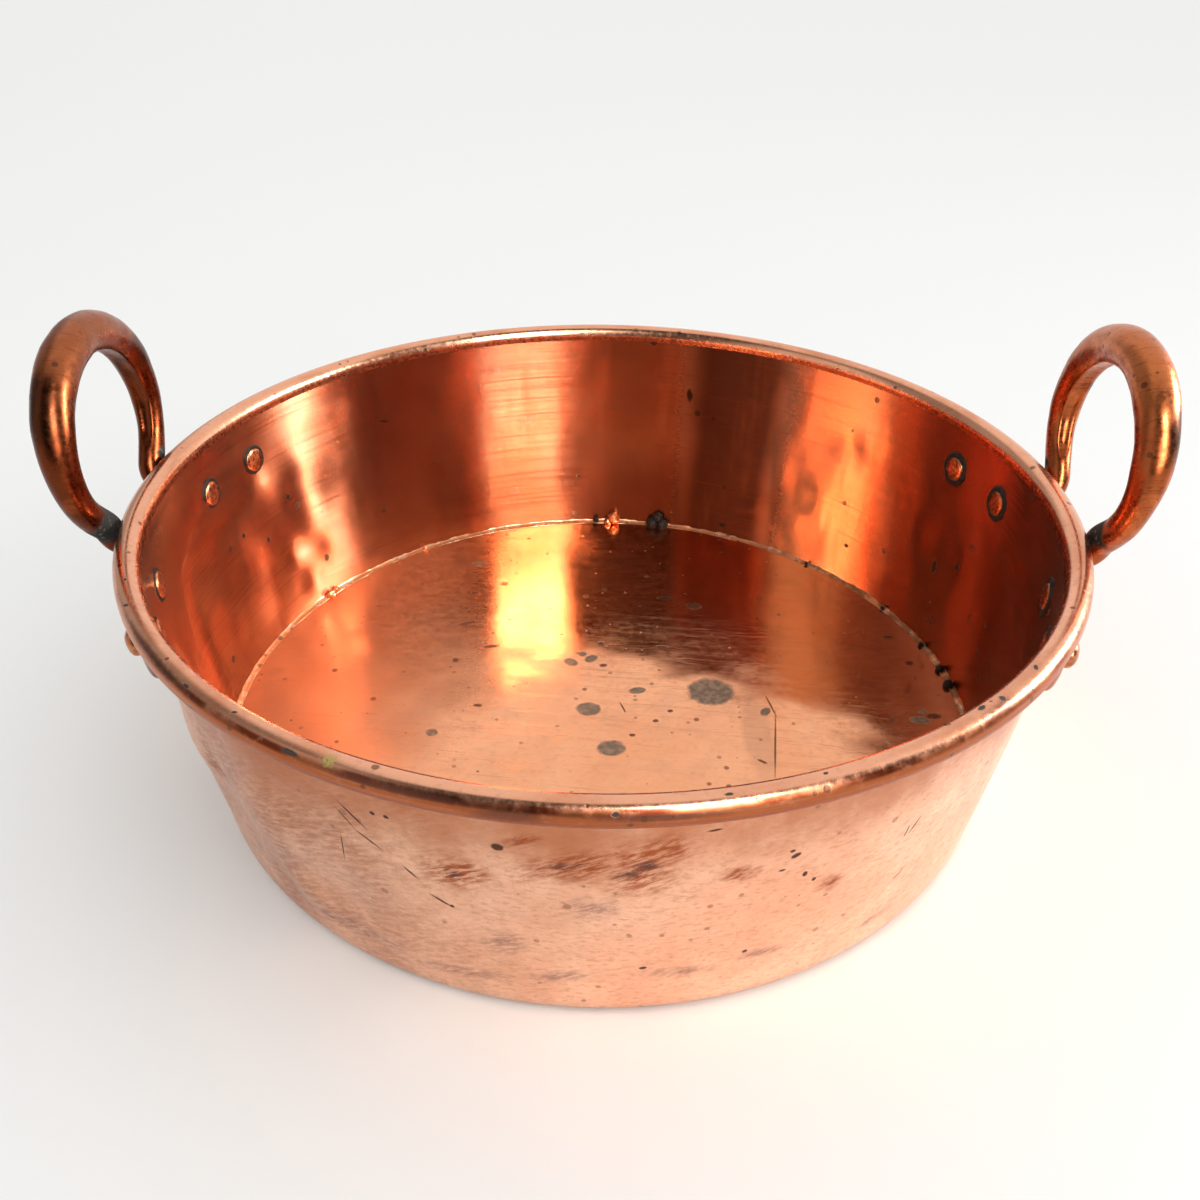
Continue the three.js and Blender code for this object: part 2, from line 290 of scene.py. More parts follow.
OUTSIDE_SMUDGES = on_wall_marks(
    (-86.2, 79.5, 10, 10, 20), (-92, 80.5, 14, 5.5, 14), (-104, 71, 9, 6, 8),
    (-65.2, 55.1, 4.5, 3.2, -12), (-76.1, 72.7, 5, 2.6, -8), (-84, 88, 8, 5, 0), (-97, 90, 5, 2.5, 30),
    (-140, 60, 8, 5, 20), (60, 55, 14, 6, 10), (105, 70, 11, 7, -20), (140, 40, 9, 5, 0),
)
OUTSIDE_CORES = on_wall_marks(
    (-85.5, 81.3, 3.6, 1.8, -12), (-87, 78, 4, 2, 20), (-93, 80.5, 4, 1.2, 14),
    (-104.5, 70.5, 2.5, 1.5, 0),
)
OUTSIDE_SMEARS = on_wall_marks(
    (-90.7, 60.6, 7, 4.5, 0), (-99.8, 37.8, 6, 4.5, 25), (-94, 22.6, 8, 3, 14),
    (-105.5, 15.7, 13, 2.2, 6), (-120.9, 17, 17, 3.4, 8), (-81.4, 23.6, 10, 2.2, -6),
    (-72.1, 25.6, 9, 2, -4), (-55.3, 17.3, 7, 2, 0), (-97.6, 102, 6, 3, 0), (80, 30, 14, 3, 8),
    (120, 60, 10, 4, -10), (30, 40, 9, 3, 0),
)
OUTSIDE_SCRATCHES = on_wall_marks(
    (-114.6, 84.5, 5.6, 0.42, -45), (-113.3, 75.4, 5.2, 0.36, -31), (-117, 66.6, 6, 0.24, 83),
    (-115.6, 82, 4.2, 0.3, -52), (-108.9, 66.3, 3, 0.4, -40), (-106, 55.6, 4, 0.5, -35),
    (-54.8, 66, 3.4, 0.4, 62), (-55.8, 65, 2.6, 0.35, 80), (-54.1, 39.7, 3, 0.3, 48),
    (-79.4, 94.2, 2.1, 0.45, 4), (70, 80, 9, 0.3, 30), (130, 55, 12, 0.3, -25),
)
OUTSIDE_PITS = on_wall_marks(
    (-99.5, 86.2, 1.9, 1.5, 0), (-70.4, 75.2, 1.7, 1.0, 20), (-70.9, 77.8, 0.9, 0.7, 0),
    (-68.8, 64.6, 0.9, 1.2, 0), (-67.5, 60.4, 0.8, 0.9, 0), (-71.6, 69.5, 1.1, 0.5, 0),
    (-112.1, 88.7, 0.9, 0.8, 0), (-110.6, 88.9, 0.9, 0.7, 0), (-105, 53.9, 0.8, 0.7, 0),
    (-85.1, 27.8, 1.3, 0.8, 0), (-73.7, 28.8, 1.0, 0.8, 0),
)


def copper_outside():
    material, t, shader = new_metal("copper_outside")
    position = t.position()
    arc, z = wall_place(t, position)
    cloud = t.group("tarnish", {"Position": position, "Scale": 13, "Cover": 0.45, "Softness": 0.16})
    # Tarnish and painted shade under the rim: the outside darkens towards the top, in clouds
    tarnish_and_shade_under_rim = t.times(t.step(z, 52 * MM, 104 * MM), t.noise(position, 24, 5.0, 0.65))
    grain = t.noise(t.vector("MULTIPLY", position, (1.0, 1.0, 2.2)), 330, 5.0, 0.68)
    speckle = t.group("pits", {"Position": position, "Scale": 210, "Share": 0.1, "Size": 0.3})
    fine = t.group("scratches", {"Across": arc, "Along": z, "Turn": 0.25, "Share": 0.42})
    upright = t.group("scratches", {
        "Across": arc, "Along": z, "Turn": 1.48, "Length": 0.014, "Pitch": 0.0012, "Share": 0.3,
    })
    mottle = t.group("tarnish", {"Position": position, "Scale": 75, "Cover": 0.5, "Softness": 0.16})
    # Tarnish and painted shade on the left front, darker and browner, in slanting streaks
    left_front_tarnish_and_shade = t.step(arc, -80 * DEGREE, -125 * DEGREE)
    left_front_tarnish_and_shade = t.times(left_front_tarnish_and_shade, t.step(arc, -178 * DEGREE, -155 * DEGREE))
    left_front_tarnish_and_shade = t.times(left_front_tarnish_and_shade, t.step(t.noise(position, 34, 5.0, 0.65), 0.3, 0.66, 0.35, 1.0))
    slanted = t.turn(t.join(arc, z), -0.42)
    strokes = t.stretched_noise(slanted, (130.0, 560.0, 0.0), 5.0, 0.7)
    blotch = t.step(strokes, 0.4, 0.6, 0.2, 1.0)
    left_front_tarnish_and_shade = t.times(left_front_tarnish_and_shade, t.step(strokes, 0.36, 0.62, 0.45, 1.0))
    smudges = t.times(marks_mask(t, arc, z, OUTSIDE_SMUDGES, 0.9, 1.7, 120), blotch)
    cores = t.times(marks_mask(t, arc, z, OUTSIDE_CORES, 0.9, 1.8, 260), blotch)
    smears = t.times(marks_mask(t, arc, z, OUTSIDE_SMEARS, 0.95, 1.7, 110), blotch)
    scores = marks_mask(t, arc, z, OUTSIDE_SCRATCHES, 0.5, 0.8, 500)
    pits = marks_mask(t, arc, z, OUTSIDE_PITS, 0.25, 0.6, 900)
    colour = t.blend(cloud, (0.98, 0.63, 0.44), (0.88, 0.47, 0.3))
    colour = t.tint(colour, mottle, 0.32, (0.68, 0.33, 0.2))
    # Tarnish and painted shade on the left front
    colour = t.blend(left_front_tarnish_and_shade, colour, (0.44, 0.18, 0.095))
    # Tarnish and painted shade under the rim
    colour = t.blend(t.step(tarnish_and_shade_under_rim, 0.12, 0.55, 0.0, 0.85), colour, (0.46, 0.14, 0.05))
    colour = t.blend(t.step(grain, 0.47, 0.68, 0.0, 0.5), colour, (0.55, 0.24, 0.13))
    colour = t.blend(t.math("MULTIPLY", smudges, 1.2, True), colour, (0.36, 0.09, 0.028))
    colour = t.tint(colour, smears, 0.85, (0.36, 0.18, 0.14))
    colour = t.blend(cores, colour, (0.11, 0.05, 0.045))
    colour = t.tint(colour, fine, 0.3, (0.45, 0.19, 0.11))
    colour = t.tint(colour, upright, 0.3, (0.5, 0.2, 0.11))
    colour = t.tint(colour, speckle, 0.6, (0.3, 0.12, 0.07))
    cut = t.most(scores, pits)
    colour = t.blend(cut, colour, (0.10, 0.04, 0.025))
    t.feed(shader.inputs["Base Color"], colour)
    matt = t.most(t.most(smudges, cores), t.most(smears, cut))
    rough = t.plus(t.step(grain, 0.3, 0.75, 0.27, 0.4), t.times(matt, 0.14))
    t.feed(shader.inputs["Roughness"], rough)
    relief = t.plus(cut, t.times(fine, 0.3))
    relief = t.minus(t.times(grain, 0.25), relief)
    t.bump(shader, relief, 0.55, 0.12 * MM)
    return material


INSIDE_SPOTS = on_wall_marks(
    (74.7, 79, 1.6, 3.2, -10), (153, 62, 1.8, 1.8, 0), (160, 50, 1.2, 1.4, 0), (148, 22, 1.8, 2, 0),
    (165, 60, 1.2, 1.2, 0), (20, 40, 2, 3.5, 0), (15, 48, 1.5, 2, 0), (131, 78, 3.5, 0.5, 20),
    (95, 30, 1.2, 0.8, 0), (40, 22, 1.4, 1.0, 0), (66, 9, 2, 1.2, 0), (-100, 50, 2, 1.5, 0),
    (-60, 40, 1.5, 1.5, 0),
)


def copper_inside():
    material, t, shader = new_metal("copper_inside")
    position = t.position()
    arc, z = wall_place(t, position)
    cloud = t.group("tarnish", {"Position": position, "Scale": 17, "Cover": 0.42, "Softness": 0.2})
    brushed = t.stretched_noise(position, (9.0, 9.0, 900.0), 4.0, 0.7)
    stripes = t.stretched_noise(position, (70.0, 70.0, 5.0), 3.0, 0.6)
    specks = t.group("pits", {"Position": position, "Scale": 120, "Share": 0.1, "Size": 0.24})
    spots = marks_mask(t, arc, z, INSIDE_SPOTS, 0.35, 0.9, 500)
    colour = t.blend(cloud, (0.65, 0.30, 0.17), (0.50, 0.19, 0.09))
    # Painted reflection: a bright upright band at 47 degrees round the inside, standing for a streak of
    # reflected light
    painted_reflection_band = t.band(arc, 47 * DEGREE, 11 * DEGREE, 5 * DEGREE)
    # Painted shade: a dark upright band at 66 degrees that dims a reflected streak, rougher as well
    painted_shade_band = t.band(arc, 66 * DEGREE, 12 * DEGREE, 5 * DEGREE)
    # Painted shade: the lower back of the inside is darker, which dims its reflection in the base
    low = t.band(arc, 95 * DEGREE, 32 * DEGREE, 20 * DEGREE)
    low = t.times(low, t.step(z, 58 * MM, 20 * MM))
    # Painted shade: the right of the inside is much darker
    painted_shade_right = t.step(arc, 42 * DEGREE, 26 * DEGREE)
    painted_shade_right = t.times(painted_shade_right, t.step(arc, -50 * DEGREE, -34 * DEGREE))
    colour = t.tint(colour, painted_shade_right, 0.65, (0.28, 0.06, 0.02))
    colour = t.tint(colour, low, 0.7, (0.3, 0.1, 0.045))
    colour = t.tint(colour, painted_reflection_band, 0.9, (0.9, 0.5, 0.27))
    colour = t.tint(colour, painted_shade_band, 0.85, (0.14, 0.026, 0.008))
    colour = t.blend(t.step(stripes, 0.5, 0.75, 0.0, 0.5), colour, (0.36, 0.11, 0.04))
    colour = t.blend(t.step(brushed, 0.48, 0.75, 0.0, 0.5), colour, (0.34, 0.105, 0.04))
    dirt = t.most(spots, t.times(specks, 0.7))
    colour = t.blend(dirt, colour, (0.10, 0.045, 0.025))
    t.feed(shader.inputs["Base Color"], colour)
    rough = t.plus(t.step(brushed, 0.2, 0.8, 0.17, 0.27), t.times(dirt, 0.2))
    rough = t.plus(rough, t.times(painted_shade_band, 0.34))
    t.feed(shader.inputs["Roughness"], rough)
    relief = t.minus(t.times(brushed, 0.3), dirt)
    t.bump(shader, relief, 0.25, 0.08 * MM)
    shader.inputs["Anisotropic"].default_value = 1
    shader.inputs["Anisotropic Rotation"].default_value = 0.25
    tangent = t.add("ShaderNodeTangent", direction_type="RADIAL", axis="Z")
    t.feed(shader.inputs["Tangent"], tangent.outputs[0])
    return material


# Marks on the rim: degrees round it, and millimetres round the bead from its outermost line
RIM_NICKS = on_wall_marks(
    (-118.2, 3.4, 3.2, 0.8, 0), (-41.6, 7.6, 1.4, 0.7, 30), (-51.2, 8.4, 1.8, 0.9, 10),
    (-48.5, 7, 1.2, 1.0, 50), (-133, 4.6, 1.6, 0.6, 0), (-150, 5, 1.4, 0.6, 40),
    (-88.7, 2.6, 0.9, 0.7, 0), (-79, 6.4, 1.2, 0.5, 0), (-155, 7, 0.9, 0.5, 0),
    (-126, 6.4, 1.0, 0.5, 30), (-70, 7.5, 0.8, 0.5, 0), (95, 5, 1.5, 0.7, 0),
)
RIM_STAINS = on_wall_marks(
    (-97.6, 0.5, 9, 2.2, 0), (-49.6, 5, 6, 1.6, 0), (-140, 4, 20, 1.1, 0), (-107, 2.6, 24, 1.2, 0),
    (-85, 1.4, 16, 1.0, 0), (-165, 3, 9, 1.2, 0), (60, 4, 20, 1.2, 0),
)
RIM_VERDIGRIS = on_wall_marks((-114.3, 5.2, 2.2, 1.7, 0))


def copper_rim():
    material, t, shader = new_metal("copper_rim")
    position = t.position()
    arc, turn = rim_place(t, position)
    streak = t.stretched_noise(position, (30.0, 30.0, 260.0), 5.0, 0.65)
    grain = t.noise(position, 420, 4.0, 0.65)
    specks = t.group("pits", {"Position": position, "Scale": 260, "Share": 0.16, "Size": 0.3})
    nicks = marks_mask(t, arc, turn, RIM_NICKS, 0.3, 1.2, 900)
    stains = marks_mask(t, arc, turn, RIM_STAINS, 0.6, 1.3, 420)
    green = marks_mask(t, arc, turn, RIM_VERDIGRIS, 0.5, 2.6, 700)
    green = t.times(green, t.step(t.noise(position, 1100, 3.0), 0.4, 0.54, 0.15, 1.0))
    # Painted shade under the bead, all round the rim
    shade_under_bead = t.step(turn, 0.3 * MM, -2.6 * MM)
    drawn = t.stretched_noise(t.join(arc, turn), (16.0, 900.0, 0.0), 4.0, 0.65)
    # Painted shade: the outer half of the bead is brown tarnish, painted darker towards the front, where it
    # stands for a dark reflection
    painted_shade_front = t.step(arc, -160 * DEGREE, -122 * DEGREE)
    painted_shade_front = t.times(painted_shade_front, t.step(arc, -20 * DEGREE, -45 * DEGREE))
    painted_shade_front = t.step(painted_shade_front, 0.0, 1.0, 0.4, 1.0)
    outer = t.times(t.step(turn, 4.6 * MM, 2.4 * MM), t.step(drawn, 0.25, 0.55, 0.7, 1.0))
    outer = t.times(outer, painted_shade_front)
    # Painted shade: a dark line along the bead, strongest towards the front, standing for a dark reflection
    painted_shade_line = t.band(turn, 3.1 * MM, 1.7 * MM, 0.5 * MM)
    painted_shade_line = t.times(painted_shade_line, t.step(t.noise(position, 55, 3.0), 0.38, 0.58, 0.3, 0.95))
    painted_shade_line = t.times(painted_shade_line, painted_shade_front)
    colour = t.blend(t.step(streak, 0.42, 0.68), (0.85, 0.41, 0.25), (0.7, 0.29, 0.16))
    colour = t.tint(colour, outer, 0.92, (0.36, 0.085, 0.022))
    colour = t.blend(painted_shade_line, colour, (0.12, 0.02, 0.006))
    colour = t.blend(t.step(grain, 0.52, 0.75, 0.0, 0.4), colour, (0.5, 0.23, 0.13))
    colour = t.tint(colour, shade_under_bead, 0.7, (0.28, 0.07, 0.02))
    colour = t.tint(colour, stains, 0.75, (0.16, 0.06, 0.04))
    colour = t.tint(colour, specks, 0.75, (0.14, 0.06, 0.035))
    colour = t.blend(nicks, colour, (0.035, 0.02, 0.014))
    colour = t.blend(green, colour, (0.33, 0.3, 0.06))
    t.feed(shader.inputs["Base Color"], colour)
    dirt = t.most(nicks, green)
    t.feed(shader.inputs["Metallic"], t.step(dirt, 0.0, 1.0, 1.0, 0.15))
    rough = t.plus(t.step(grain, 0.3, 0.75, 0.18, 0.3), t.times(dirt, 0.35))
    rough = t.plus(rough, t.times(outer, 0.14))
    t.feed(shader.inputs["Roughness"], rough)
    relief = t.plus(nicks, t.times(specks, 0.6))
    relief = t.minus(t.times(grain, 0.3), relief)
    t.bump(shader, relief, 0.5, 0.12 * MM)
    return material


BASE_STAINS = on_base_marks(
    (49.8, 5.5, 10.2, 9.5, 0), (-5.6, -7.6, 5.4, 4.6, 0), (-14.5, 27, 3.4, 2.6, -35),
    (-5, 30, 3.2, 2.4, 40), (-9, 33.5, 2, 1.6, 0), (16.5, 6, 4, 2.2, 10), (-73.5, -25.1, 2.6, 2.4, 0),
    (141.4, -12.4, 4.6, 2.6, 0), (144, -6.6, 2, 1.6, 0), (73.6, -8.2, 3, 2, 60), (4.7, -34, 6, 5, 0),
    (-66.5, 114.8, 4, 2, 0),
)
BASE_SPOTS = on_base_marks(
    (-0.3, 42, 1.7, 1.7, 0), (0.8, 25, 1.6, 1.2, 0), (-8.2, 83.6, 1.3, 1.5, 0),
    (1.1, 90.5, 1.4, 1.6, 0), (-55.3, -6, 2, 1, 0), (-69.3, 28, 1.5, 1.8, 0),
    (140.4, 51.3, 2.6, 1.2, 0), (146.2, 30, 1.8, 1.8, 0), (129.6, -12.6, 1.3, 1.2, 0),
    (68.5, -40.8, 2.4, 0.7, -35), (9.8, -6, 3.8, 0.4, -70), (148.4, -9.4, 3.4, 1.8, 0),
    (46.5, 75.9, 4, 3.4, 0), (32.2, 83.1, 4, 2, 0), (29.1, 39.8, 3, 1.6, 0), (24.3, -15.2, 1.3, 1.1, 0),
    (31, -8.4, 1.2, 1, 0), (13.8, -25.2, 1.4, 1, 0), (-53.5, 39, 3.6, 1.2, 8), (-67, 58, 5, 1.4, 20),
)
BASE_LAP = on_base_marks((68.5, -26, 6.5, 25, 2))
BASE_LINE = on_base_marks((76.4, -4, 0.4, 7.5, 12), (75.3, -30, 0.4, 20, -7))


def copper_base():
    material, t, shader = new_metal("copper_base")
    position = t.position()
    x, y, _ = t.split(position)
    cloud = t.group("tarnish", {"Position": position, "Scale": 20, "Cover": 0.5, "Softness": 0.2})
    grain = t.noise(position, 300, 5.0, 0.66)
    scrub = t.stretched_noise(position, (85.0, 300.0, 1.0), 4.0, 0.65)
    specks = t.group("pits", {"Position": position, "Scale": 95, "Share": 0.3, "Size": 0.16})
    dots = t.group("pits", {"Position": position, "Scale": 260, "Share": 0.12, "Size": 0.28})
    fine = t.group("scratches", {"Across": x, "Along": y, "Turn": 0.12, "Share": 0.5})
    stains = marks_mask(t, x, y, BASE_STAINS, 0.14, 0.5, 260)
    spots = marks_mask(t, x, y, BASE_SPOTS, 0.3, 0.9, 600)
    lap = marks_mask(t, x, y, BASE_LAP, 0.3, 0.5, 160)
    line = marks_mask(t, x, y, BASE_LINE, 0.5, 0.7, 400)
    colour = t.blend(cloud, (0.96, 0.45, 0.245), (0.90, 0.385, 0.195))
    # Painted shade: the base is darker towards the left, which dims the bright reflection of the wall there
    colour = t.blend(t.step(x, -55 * MM, -115 * MM, 0.0, 0.55), colour, (0.52, 0.15, 0.06))
    colour = t.blend(t.step(grain, 0.5, 0.75, 0.0, 0.28), colour, (0.62, 0.25, 0.12))
    colour = t.blend(t.step(scrub, 0.5, 0.8, 0.0, 0.3), colour, (0.66, 0.27, 0.13))
    haze = t.group("tarnish", {"Position": position, "Scale": 55, "Cover": 0.4, "Softness": 0.1})
    colour = t.tint(colour, haze, 0.22, (0.6, 0.3, 0.19))
    colour = t.tint(colour, lap, 0.4, (0.5, 0.26, 0.16))
    colour = t.tint(colour, fine, 0.25, (0.45, 0.17, 0.08))
    dark = t.most(spots, t.most(t.times(specks, 0.8), line))
    dark = t.most(dark, t.times(dots, 0.5))
    colour = t.tint(colour, dark, 0.85, (0.12, 0.05, 0.03))
    patchy = t.blend(t.step(t.noise(position, 380, 3.0), 0.4, 0.65), (0.13, 0.115, 0.08), (0.3, 0.2, 0.14))
    colour = t.tint(colour, stains, 0.9, patchy)
    t.feed(shader.inputs["Base Color"], colour)
    dirt = t.most(stains, dark)
    t.feed(shader.inputs["Metallic"], t.step(stains, 0.0, 1.0, 1.0, 0.55))
    rough = t.plus(t.step(grain, 0.3, 0.8, 0.08, 0.17), t.times(dirt, 0.22))
    rough = t.plus(rough, t.step(x, -30 * MM, -100 * MM, 0.0, 0.26))
    rough = t.plus(rough, t.step(scrub, 0.3, 0.8, 0.0, 0.08))
    t.feed(shader.inputs["Roughness"], t.plus(rough, t.times(cloud, 0.04)))
    relief = t.plus(t.times(grain, 0.14), t.times(scrub, 0.34))
    relief = t.minus(relief, t.plus(dark, t.times(fine, 0.25)))
    t.bump(shader, relief, 0.36, 0.1 * MM)
    return material


def near(t, position, place, reach):
    """A ragged ball-shaped mask round a place, in metres."""
    distance = t.add("ShaderNodeVectorMath", {0: position, 1: place}, operation="DISTANCE").outputs["Value"]
    wander = t.times(t.minus(t.noise(position, 170, 3.0, 0.6), 0.5), 0.9 * reach)
    return t.step(t.plus(distance, wander), reach, 0.55 * reach)


# Soil on the handles, and spots of painted shade on them: place and reach in metres
HANDLE_GRIME = {
    "left": [((-0.186, -0.036, 0.111), 0.011), ((-0.183, 0.024, 0.112), 0.004)],
    "right": [((0.183, -0.034, 0.113), 0.009), ((0.184, 0.026, 0.111), 0.004)],
}
HANDLE_PAINTED_SHADE_SPOTS = {
    "left": [
        ((-0.200, -0.046, 0.160), 0.018), ((-0.200, -0.046, 0.128), 0.014), ((-0.196, 0.036, 0.155), 0.016),
    ],
    "right": [
        ((0.202, -0.044, 0.155), 0.014), ((0.200, -0.046, 0.126), 0.010), ((0.197, 0.034, 0.146), 0.006),
    ],
}
# Bare, rubbed and tarnished metal of each handle. The right handle's set is lighter than the left's:
# painted light for the brighter side
HANDLE_COLOURS = {
    "left": ((0.4, 0.095, 0.027), (0.46, 0.135, 0.05), (0.095, 0.018, 0.006)),
    "right": ((0.72, 0.21, 0.07), (0.66, 0.2, 0.065), (0.3, 0.065, 0.018)),
}


def handle_copper(side):
    material, t, shader = new_metal(f"{side}_handle_copper")
    position = t.position()
    patina = t.group("tarnish", {"Position": position, "Scale": 46, "Cover": 0.7, "Softness": 0.12})
    mottle = t.group("tarnish", {"Position": position, "Scale": 150, "Cover": 0.45, "Softness": 0.12})
    grain = t.noise(position, 520, 4.0, 0.65)
    specks = t.group("pits", {"Position": position, "Scale": 230, "Share": 0.2, "Size": 0.3})
    _, y, z = t.split(position)
    worn_top = t.step(z, 150 * MM, 176 * MM)
    rubbed = t.group("scratches", {
        "Across": y, "Along": z, "Turn": 0.75, "Length": 0.009, "Pitch": 0.0011, "Share": 0.6,
    })
    masks = {}
    for kind, rows in (("grime", HANDLE_GRIME[side]), ("dark", HANDLE_PAINTED_SHADE_SPOTS[side])):
        for place, reach in rows:
            one = near(t, position, place, reach)
            masks[kind] = t.most(masks[kind], one) if kind in masks else one
    brown = t.times(patina, t.step(worn_top, 0.0, 1.0, 0.85, 0.35))
    brown = t.most(brown, t.times(mottle, 0.4))
    bare, rubbed_bright, tarnished = HANDLE_COLOURS[side]
    colour = t.blend(worn_top, bare, rubbed_bright)
    colour = t.blend(brown, colour, tarnished)
    colour = t.tint(colour, rubbed, 0.55, (0.12, 0.028, 0.01))
    colour = t.blend(t.step(grain, 0.5, 0.75, 0.0, 0.35), colour, (0.22, 0.065, 0.025))
    # Painted shade in dark spots on the handles
    colour = t.tint(colour, masks["dark"], 0.92, (0.07, 0.02, 0.008))
    colour = t.tint(colour, specks, 0.7, (0.09, 0.035, 0.02))
    mossy = t.step(t.noise(position, 420, 3.0), 0.58, 0.68)
    soil = t.blend(mossy, (0.006, 0.006, 0.005), (0.12, 0.13, 0.07))
    colour = t.blend(masks["grime"], colour, soil)
    t.feed(shader.inputs["Base Color"], colour)
    t.feed(shader.inputs["Metallic"], t.step(masks["grime"], 0.0, 1.0, 1.0, 0.1))
    rough = t.plus(t.step(grain, 0.3, 0.75, 0.22, 0.34), t.times(masks["grime"], 0.5))
    t.feed(shader.inputs["Roughness"], t.plus(rough, t.times(mottle, 0.06)))
    relief = t.minus(t.times(grain, 0.35), specks)
    t.bump(shader, relief, 0.18, 0.1 * MM)
    return material


def rivet_copper():
    material, t, shader = new_metal("rivet_copper")
    position = t.position()
    mottle = t.group("tarnish", {"Position": position, "Scale": 260, "Cover": 0.5, "Softness": 0.15})
    grain = t.noise(position, 700, 3.0, 0.6)
    colour = t.blend(mottle, (0.64, 0.28, 0.14), (0.42, 0.14, 0.055))
    colour = t.blend(t.step(grain, 0.5, 0.75, 0.0, 0.5), colour, (0.28, 0.1, 0.05))
    t.feed(shader.inputs["Base Color"], colour)
    t.feed(shader.inputs["Roughness"], t.step(grain, 0.3, 0.75, 0.22, 0.4))
    t.bump(shader, grain, 0.2, 0.08 * MM)
    return material


def black_grime():
    material, t, shader = new_metal("black_grime")
    position = t.position()
    cloud = t.noise(position, 600, 4.0, 0.65)
    colour = t.blend(t.step(cloud, 0.45, 0.7), (0.012, 0.009, 0.007), (0.05, 0.025, 0.015))
    t.feed(shader.inputs["Base Color"], colour)
    shader.inputs["Metallic"].default_value = 0
    shader.inputs["Specular IOR Level"].default_value = 0.2
    t.feed(shader.inputs["Roughness"], t.step(cloud, 0.3, 0.7, 0.45, 0.75))
    t.bump(shader, cloud, 0.7, 0.2 * MM)
    return material


def pale_braze():
    material, t, shader = new_metal("pale_braze")
    position = t.position()
    x, _, _ = t.split(position)
    lumps = t.noise(position, 190, 4.0, 0.6)
    specks = t.group("pits", {"Position": position, "Scale": 230, "Share": 0.3, "Size": 0.4})
    # Darker in patches towards the right of the seam
    darker_to_the_right = t.times(t.step(x, 40 * MM, 140 * MM), t.step(t.noise(position, 130, 3.0), 0.4, 0.6))
    colour = t.blend(t.step(lumps, 0.36, 0.52), (0.84, 0.48, 0.29), (0.66, 0.27, 0.12))
    colour = t.tint(colour, darker_to_the_right, 0.75, (0.16, 0.07, 0.03))
    colour = t.tint(colour, specks, 0.7, (0.10, 0.06, 0.04))
    t.feed(shader.inputs["Base Color"], colour)
    t.feed(shader.inputs["Roughness"], t.step(lumps, 0.3, 0.7, 0.26, 0.45))
    t.bump(shader, lumps, 0.5, 0.3 * MM)
    return material


# Camera, floor and light

LIGHT_TARGET = Vector((0, 0, 60 * MM))


def make_camera():
    bpy.ops.object.camera_add()
    camera = bpy.context.object
    camera.name = "photo_camera"
    camera.data.lens = CAMERA_LENS
    camera.data.sensor_width = 36
    camera.data.clip_start = 0.01
    camera.matrix_world = (
        Matrix.Translation(CAMERA_PLACE)
        @ Matrix.Rotation(-CAMERA_YAW, 4, "Z")
        @ Matrix.Rotation(math.pi / 2 - CAMERA_PITCH, 4, "X")
        @ Matrix.Rotation(CAMERA_ROLL, 4, "Z")
    )
    bpy.context.scene.camera = camera


def make_floor():
    bpy.ops.mesh.primitive_plane_add(size=14)
    floor = bpy.context.object
    floor.name = "floor"
    material = bpy.data.materials.new("pale_floor")
    material.use_nodes = True
    shader = material.node_tree.nodes["Principled BSDF"]
    shader.inputs["Base Color"].default_value = (0.88, 0.895, 0.89, 1)
    shader.inputs["Roughness"].default_value = 0.6
    shader.inputs["Specular IOR Level"].default_value = 0.25
    floor.data.materials.append(material)


def soft_light(name, place, width, height, watts, is_window):
    """A soft lamp that lights the floor, or a window that only shows as a reflection in the metal."""
    bpy.ops.object.light_add(type="AREA", location=place)
    lamp = bpy.context.object
    lamp.name = name
    lamp.data.shape = "RECTANGLE"
    lamp.data.size = width
    lamp.data.size_y = height
    lamp.data.energy = watts
    lamp.visible_camera = False
    lamp.visible_diffuse = not is_window
    lamp.visible_glossy = is_window
    direction = LIGHT_TARGET - Vector(place)
    lamp.rotation_euler = direction.to_track_quat("-Z", "Y").to_euler()


def make_light():
    """A white studio, one soft lamp for the floor, and three windows that only the metal shows.

    In the metal the studio looks dim in front and at the left.
    """
    world = bpy.data.worlds.new("studio")
    bpy.context.scene.world = world
    world.use_nodes = True
    t = Tree(world.node_tree)
    x, y, z = t.split(t.add("ShaderNodeTexCoord").outputs["Generated"])
    front = t.step(y, 0.12, -0.16)
    left = t.times(t.step(x, -0.2, -0.6), t.step(z, 0.97, 0.8))
    left = t.times(left, t.step(y, 0.3, 0.5, 0.93, 0.68))
    corner = t.times(t.step(x, -0.45, -0.72), t.step(y, 0.02, -0.16))
    dim = t.plus(t.step(x, -0.3, -0.75, 0.02, 0.28), t.times(corner, 0.5))
    level = t.step(t.most(front, left), 0.0, 1.0, 0.98, dim)
    in_metal = t.add("ShaderNodeLightPath").outputs["Is Glossy Ray"]
    background = world.node_tree.nodes["Background"]
    background.inputs["Color"].default_value = (1.0, 0.99, 0.98, 1)
    strength = t.add("ShaderNodeMix", {0: in_metal, 2: 1.0, 3: level}).outputs[0]
    t.feed(background.inputs["Strength"], strength)
    soft_light("key_right", (1.15, -0.61, 0.85), 1.5, 0.5, 4.5, False)
    soft_light("window_front", (0.5, -1.0, 1.2), 0.52, 0.7, 34, True)
    soft_light("window_low", (0.5, -1.0, 0.5), 0.5, 0.3, 6, True)
    soft_light("window_right", (1.277, 0.241, 0.585), 0.25, 0.42, 32, True)


# Modelling helpers

# Edges sharper than these angles stay sharp
SHEET_CREASE = math.radians(50)
RIVET_CREASE = math.radians(60)
# Sides of the rings that each sheet is drawn through
WALL_SIDES = 320
BASE_SIDES = 224
SEAM_SIDES = 520


def take(obj):
    """Makes one object the only selected and active one."""
    bpy.ops.object.select_all(action="DESELECT")
    obj.select_set(True)
    bpy.context.view_layer.objects.active = obj


